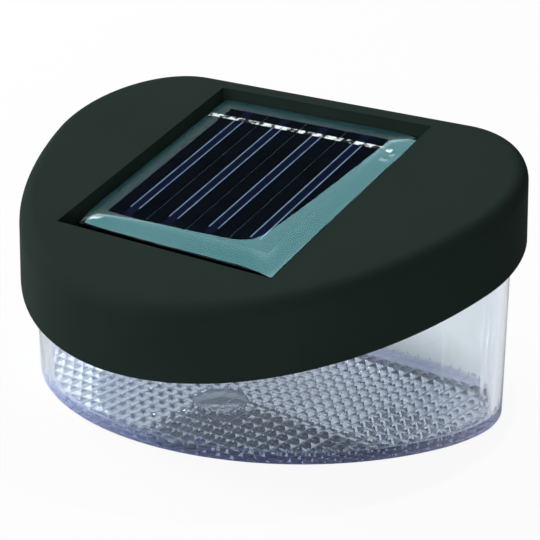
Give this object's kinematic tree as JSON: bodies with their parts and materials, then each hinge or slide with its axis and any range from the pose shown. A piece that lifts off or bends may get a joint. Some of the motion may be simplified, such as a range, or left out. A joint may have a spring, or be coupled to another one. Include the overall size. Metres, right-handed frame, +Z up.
{
  "type": "solar fence light",
  "caption": "Half-round solar fence light: a sloping dark cap with a solar panel set into its top lifts off a clear prism-floored lens cup that is screwed to a fence.",
  "frame": {"origin": "middle of the footprint, on the flat bottom of the lens cup", "axes": "+X along the fence, +Y towards the fence, +Z up"},
  "size_m": [0.1146, 0.074, 0.0544],
  "materials": {
    "clear_lens": "clear, polished",
    "cap_plastic": "fine matte grain",
    "tray_plastic": "dark grey, fine grain",
    "screw_steel": "zinc plated",
    "cell_can": "nickel plated",
    "cell_sleeve": "shrunk film",
    "contact_metal": "nickel plated",
    "board_laminate": "solder mask",
    "led_resin": "clear epoxy",
    "lead_metal": "tinned",
    "switch_metal": "plain",
    "slider_plastic": "plain",
    "choke_body": "dipped",
    "chip_body": "moulded",
    "wire_red": "insulated",
    "wire_black": "insulated",
    "panel_laminate": "black solder mask",
    "silicon": "dark navy",
    "bus_silver": "printed silver",
    "panel_resin": "clear, domed",
    "sealant": "cured bead"
  },
  "bodies": {
    "lens": {"lens_cup": "clear_lens"},
    "cap": {"top_cover": "cap_plastic", "base_tray": "tray_plastic", "tray_screws": "screw_steel", "battery_cell": "cell_can", "battery_sleeve": "cell_sleeve", "positive_contact": "contact_metal", "negative_contact": "contact_metal", "contact_spring": "contact_metal", "circuit_board": "board_laminate", "board_screws": "screw_steel", "led_left": "led_resin", "led_right": "led_resin", "led_leads": "lead_metal", "switch_body": "switch_metal", "choke": "choke_body", "driver_chip": "chip_body", "panel_wire_red": "wire_red", "panel_wire_black": "wire_black", "battery_wire_red": "wire_red", "battery_wire_black": "wire_black", "panel_board": "panel_laminate", "panel_adhesive": "sealant", "cell_busbars": "bus_silver", "tab_ribbons": "bus_silver", "epoxy_cover": "panel_resin", "solar_cell_1": "silicon", "solar_cell_2": "silicon", "solar_cell_3": "silicon", "solar_cell_4": "silicon"},
    "door": {"battery_door": "tray_plastic"},
    "slider": {"switch_slider": "slider_plastic"}
  },
  "joints": [
    {"name": "cap_lift", "type": "slide", "parent": "lens", "child": "cap", "axis": [0, 0, 1], "range_m": [0, 0.05]},
    {"name": "door_hinge", "type": "hinge", "parent": "cap", "child": "door", "pos_m": [0, 0.0264, 0.02225], "axis": [1, 0, 0], "range_deg": [0, 100]},
    {"name": "switch_slide", "type": "slide", "parent": "cap", "child": "slider", "axis": [1, 0, 0], "range_m": [0, 0.002]}
  ]
}
